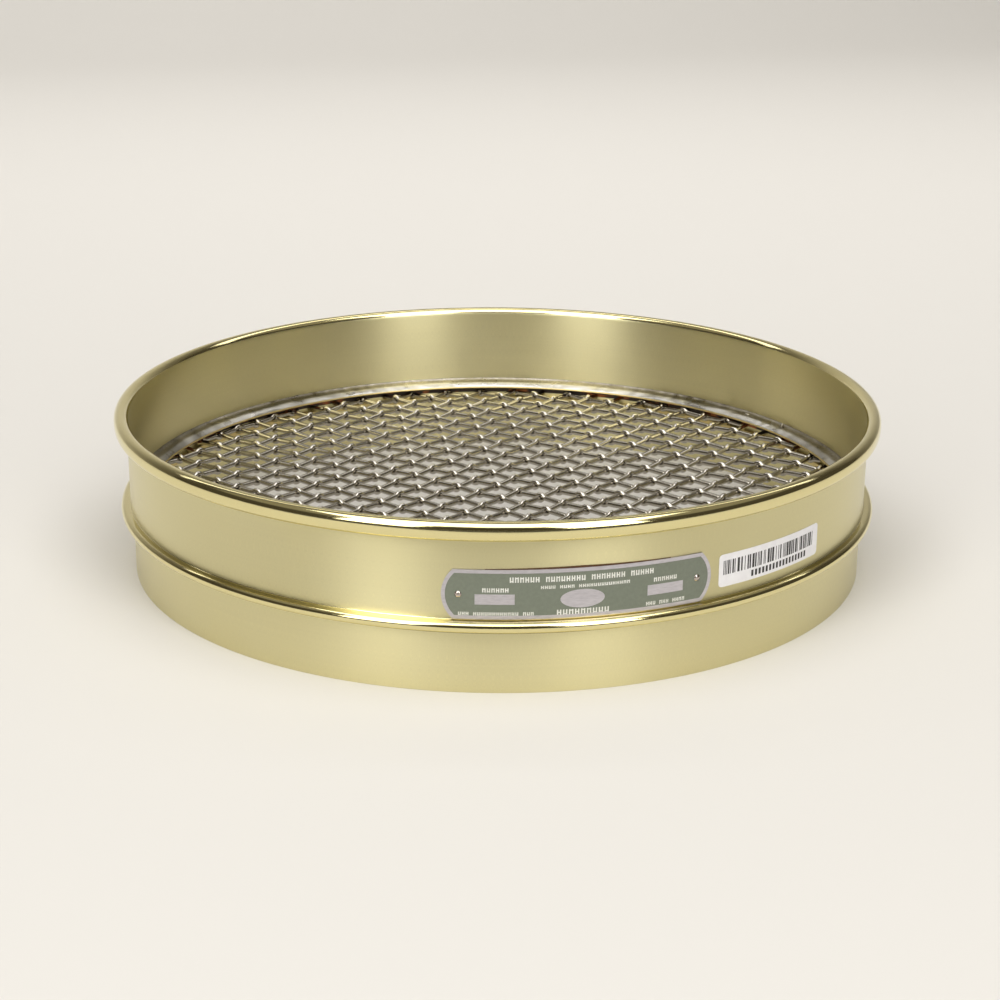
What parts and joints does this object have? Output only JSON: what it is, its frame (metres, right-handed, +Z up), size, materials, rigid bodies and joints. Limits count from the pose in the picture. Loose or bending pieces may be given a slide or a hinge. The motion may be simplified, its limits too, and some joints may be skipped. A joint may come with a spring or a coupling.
{
  "type": "test sieve",
  "caption": "Round half-height test sieve: a brass frame with rolled rim and skirt that nest in a stack, and plain-woven wire cloth soldered in behind a ring.",
  "frame": {"origin": "middle of the skirt's lower edge, on the surface that the sieve stands on", "axes": "+Z up along the sieve's axis; the nameplate faces -Y"},
  "size_m": [0.3166, 0.3166, 0.0667],
  "materials": {
    "brass_frame": "brushed wall, polished beads",
    "brass_skirt": "brushed",
    "brass_ring": "plain sheet",
    "solder": "soft solder, wiped",
    "stainless_wire": "drawn stainless wire",
    "nameplate_metal": "satin",
    "enamel": "grey-green enamel",
    "rivet_metal": "bright",
    "label_paper": "white film"
  },
  "bodies": {
    "root": {"upper_frame": "brass_frame", "skirt": "brass_skirt", "retaining_ring": "brass_ring", "support_hoop": "brass_ring", "solder_fillet": "solder", "warp_wire_01": "stainless_wire", "warp_wire_02": "stainless_wire", "warp_wire_03": "stainless_wire", "warp_wire_04": "stainless_wire", "warp_wire_05": "stainless_wire", "warp_wire_06": "stainless_wire", "warp_wire_07": "stainless_wire", "warp_wire_08": "stainless_wire", "warp_wire_09": "stainless_wire", "warp_wire_10": "stainless_wire", "warp_wire_11": "stainless_wire", "warp_wire_12": "stainless_wire", "warp_wire_13": "stainless_wire", "warp_wire_14": "stainless_wire", "warp_wire_15": "stainless_wire", "warp_wire_16": "stainless_wire", "warp_wire_17": "stainless_wire", "warp_wire_18": "stainless_wire", "warp_wire_19": "stainless_wire", "warp_wire_20": "stainless_wire", "warp_wire_21": "stainless_wire", "warp_wire_22": "stainless_wire", "warp_wire_23": "stainless_wire", "warp_wire_24": "stainless_wire", "warp_wire_25": "stainless_wire", "shute_wire_01": "stainless_wire", "shute_wire_02": "stainless_wire", "shute_wire_03": "stainless_wire", "shute_wire_04": "stainless_wire", "shute_wire_05": "stainless_wire", "shute_wire_06": "stainless_wire", "shute_wire_07": "stainless_wire", "shute_wire_08": "stainless_wire", "shute_wire_09": "stainless_wire", "shute_wire_10": "stainless_wire", "shute_wire_11": "stainless_wire", "shute_wire_12": "stainless_wire", "shute_wire_13": "stainless_wire", "shute_wire_14": "stainless_wire", "shute_wire_15": "stainless_wire", "shute_wire_16": "stainless_wire", "shute_wire_17": "stainless_wire", "shute_wire_18": "stainless_wire", "shute_wire_19": "stainless_wire", "shute_wire_20": "stainless_wire", "shute_wire_21": "stainless_wire", "shute_wire_22": "stainless_wire", "shute_wire_23": "stainless_wire", "shute_wire_24": "stainless_wire", "shute_wire_25": "stainless_wire", "nameplate": "nameplate_metal", "nameplate_enamel": "enamel", "plate_rivet_left": "rivet_metal", "plate_rivet_right": "rivet_metal", "barcode_label": "label_paper"}
  },
  "joints": []
}
